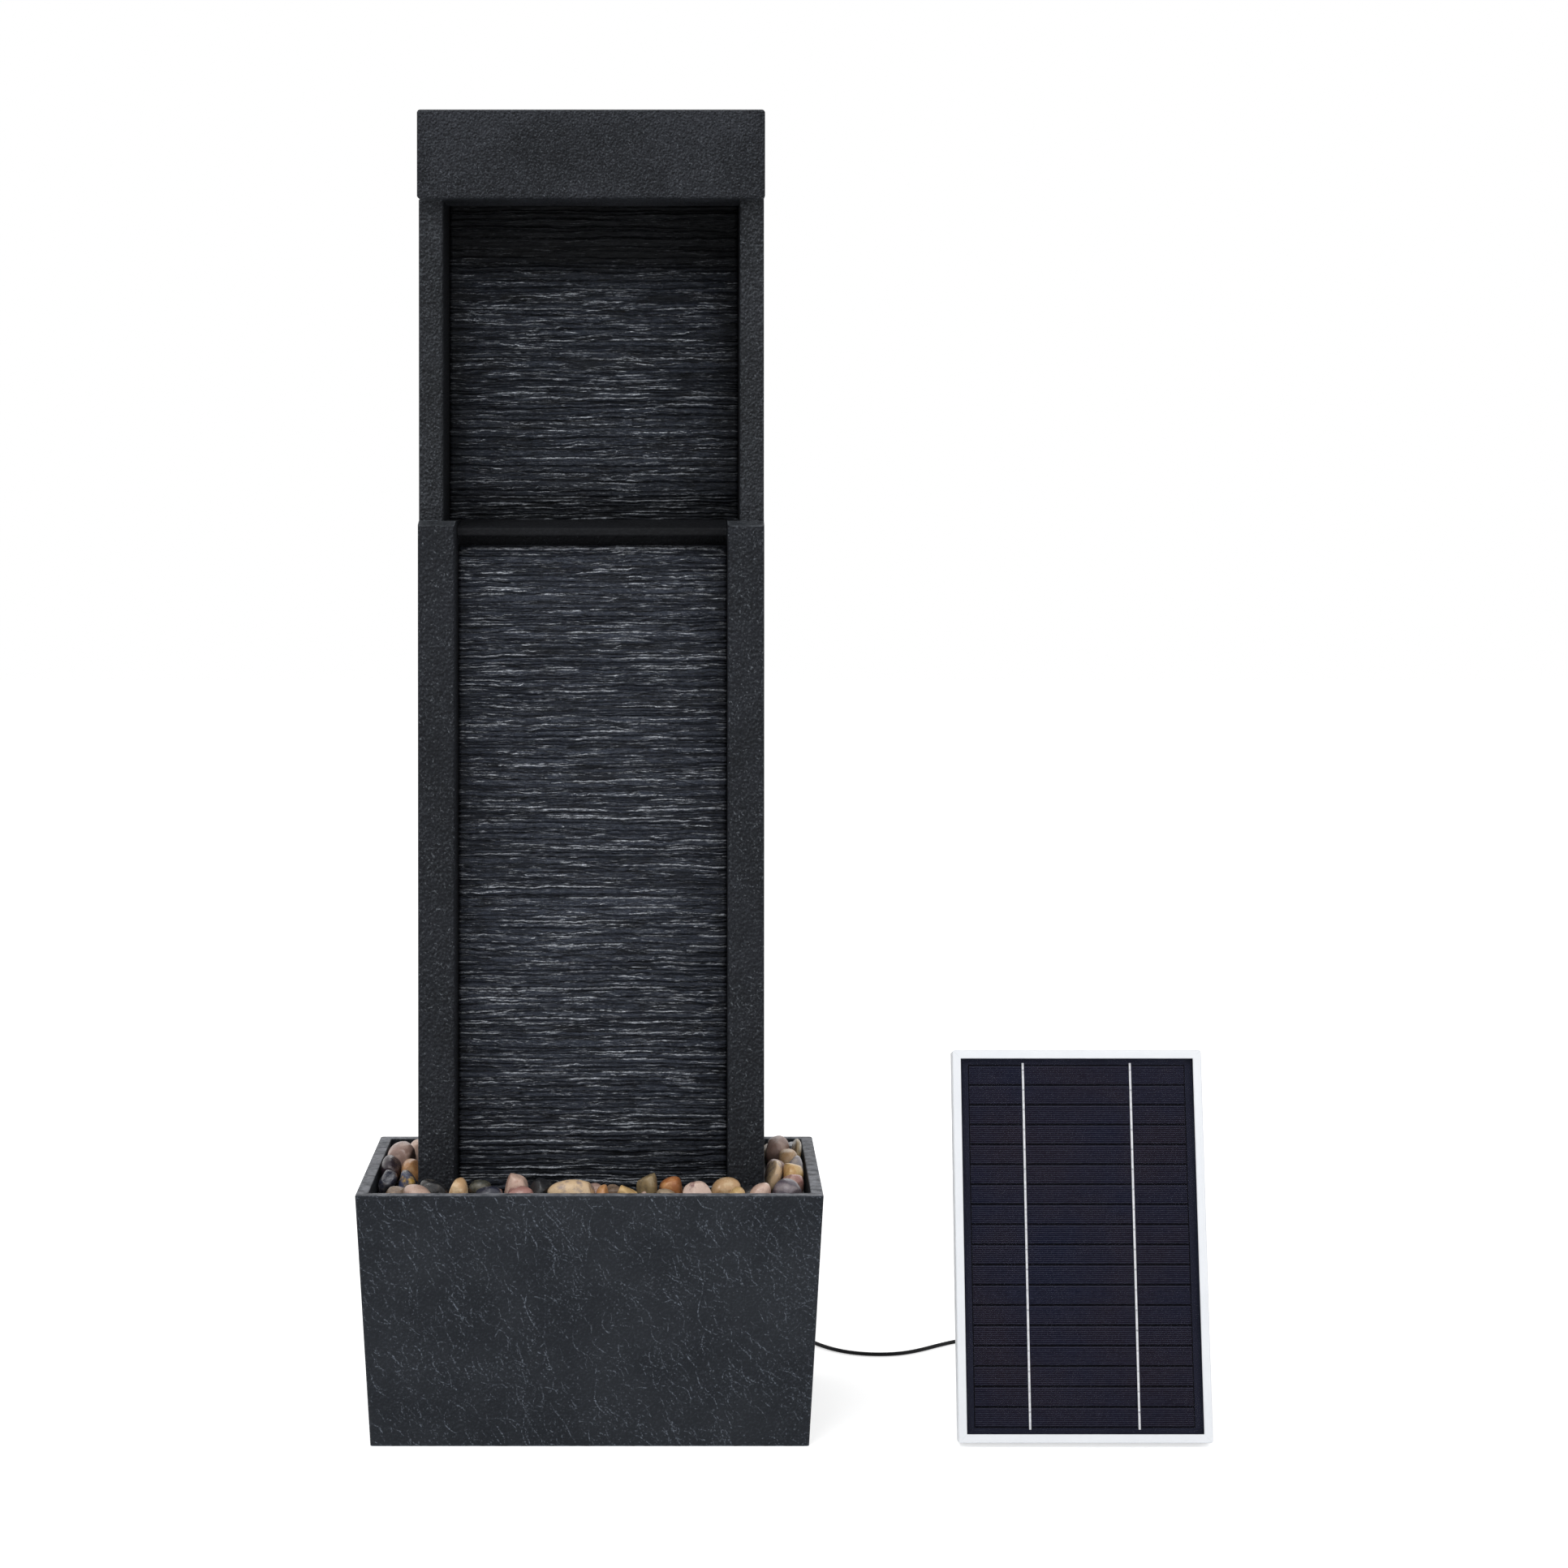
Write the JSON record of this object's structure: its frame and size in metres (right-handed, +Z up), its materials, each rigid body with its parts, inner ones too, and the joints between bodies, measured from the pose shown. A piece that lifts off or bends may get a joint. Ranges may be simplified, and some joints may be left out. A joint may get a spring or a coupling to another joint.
{
  "type": "solar fountain",
  "caption": "Tall two-stage slate waterfall fountain in a pebble-filled basin, with a pump inside and a separate solar panel on a prop leg joined by a thin lead.",
  "frame": {"origin": "middle of the basin's underside, on the ground", "axes": "+X to the right seen from the front, +Y to the back, +Z up"},
  "size_m": [0.6099, 0.3235, 0.9564],
  "materials": {
    "slate_resin_basin": "charcoal resin with pale raised flecks",
    "slate_resin_tower": "charcoal resin, fine speckle",
    "slate_resin_header": "charcoal resin, pitted grain",
    "slate_layers": "layered slate, dry-brushed edges",
    "pebble_tan": "smooth",
    "pebble_rose": "smooth",
    "pebble_dark": "smooth",
    "pebble_amber": "smooth",
    "black_moulding": "moulded",
    "pump_black": "moulded",
    "dial_grey": "moulded",
    "impeller_white": "moulded",
    "steel": "ground",
    "rubber_black": "matt",
    "hose_clear": "translucent",
    "lead_sheath": "satin",
    "frame_white": "white powder coat",
    "key_grey": "mill finish",
    "panel_glass": "clear",
    "cell_navy": "silicon",
    "ribbon_silver": "tinned",
    "sheet_navy": "film",
    "box_black": "moulded",
    "battery_wrap": "shrink wrap",
    "board_green": "solder mask",
    "button_grey": "moulded",
    "lens_green": "clear tinted"
  },
  "bodies": {
    "fountain": {"backing_sheet": "sheet_navy", "basin": "slate_resin_basin", "battery_box": "box_black", "battery_box_lid": "box_black", "battery_cells": "battery_wrap", "cell_ribbons": "ribbon_silver", "cell_strips": "cell_navy", "coil_tie": "black_moulding", "control_board": "board_green", "corner_keys": "key_grey", "cover_screws": "steel", "frame_rail_bottom": "frame_white", "frame_rail_left": "frame_white", "frame_rail_right": "frame_white", "frame_rail_top": "frame_white", "head_trough": "black_moulding", "header": "slate_resin_header", "hinge_lugs": "key_grey", "hose_tail": "black_moulding", "indicator_lens": "lens_green", "lead_coil": "lead_sheath", "lead_gland": "rubber_black", "lead_grommet": "rubber_black", "lead_run_basin": "lead_sheath", "lead_run_panel": "lead_sheath", "lid_gasket": "rubber_black", "lid_screws": "steel", "lower_slate_panel": "slate_layers", "lug_rivets": "steel", "panel_glass": "panel_glass", "pebble_tray": "black_moulding", "pebbles_amber": "pebble_amber", "pebbles_dark": "pebble_dark", "pebbles_rose": "pebble_rose", "pebbles_tan": "pebble_tan", "pivot_bolts": "steel", "pump_cover": "pump_black", "pump_feet": "rubber_black", "pump_housing": "pump_black", "pump_lead": "lead_sheath", "pump_shaft": "steel", "rear_cover": "slate_resin_tower", "riser_hose": "hose_clear", "spill_ledge": "slate_layers", "thumb_nuts": "black_moulding", "tower_lower_casting": "slate_resin_tower", "tower_upper_casting": "slate_resin_tower", "upper_slate_panel": "slate_layers"},
    "prop_leg": {"prop_leg": "key_grey", "leg_foot_pads": "rubber_black"},
    "power_button": {"power_button": "button_grey"},
    "pump_impeller": {"pump_impeller": "impeller_white"},
    "flow_dial": {"flow_dial": "dial_grey"}
  },
  "joints": [
    {"name": "prop_leg_hinge", "type": "hinge", "parent": "fountain", "child": "prop_leg", "pos_m": [0.353, -0.03347, 0.22235], "axis": [1, 0, 0], "range_deg": [-21, 0]},
    {"name": "power_button_press", "type": "slide", "parent": "fountain", "child": "power_button", "axis": [0, -0.9737, 0.2279], "range_m": [0, 0.0012], "stiffness_N_per_m": 800, "springref_m": -0.001},
    {"name": "impeller_spin", "type": "hinge", "parent": "fountain", "child": "pump_impeller", "pos_m": [0, 0.056, 0.034], "axis": [1, 0, 0], "continuous": true},
    {"name": "flow_dial_turn", "type": "hinge", "parent": "fountain", "child": "flow_dial", "pos_m": [-0.019, 0.065, 0.034], "axis": [1, 0, 0], "range_deg": [0, 90]}
  ]
}
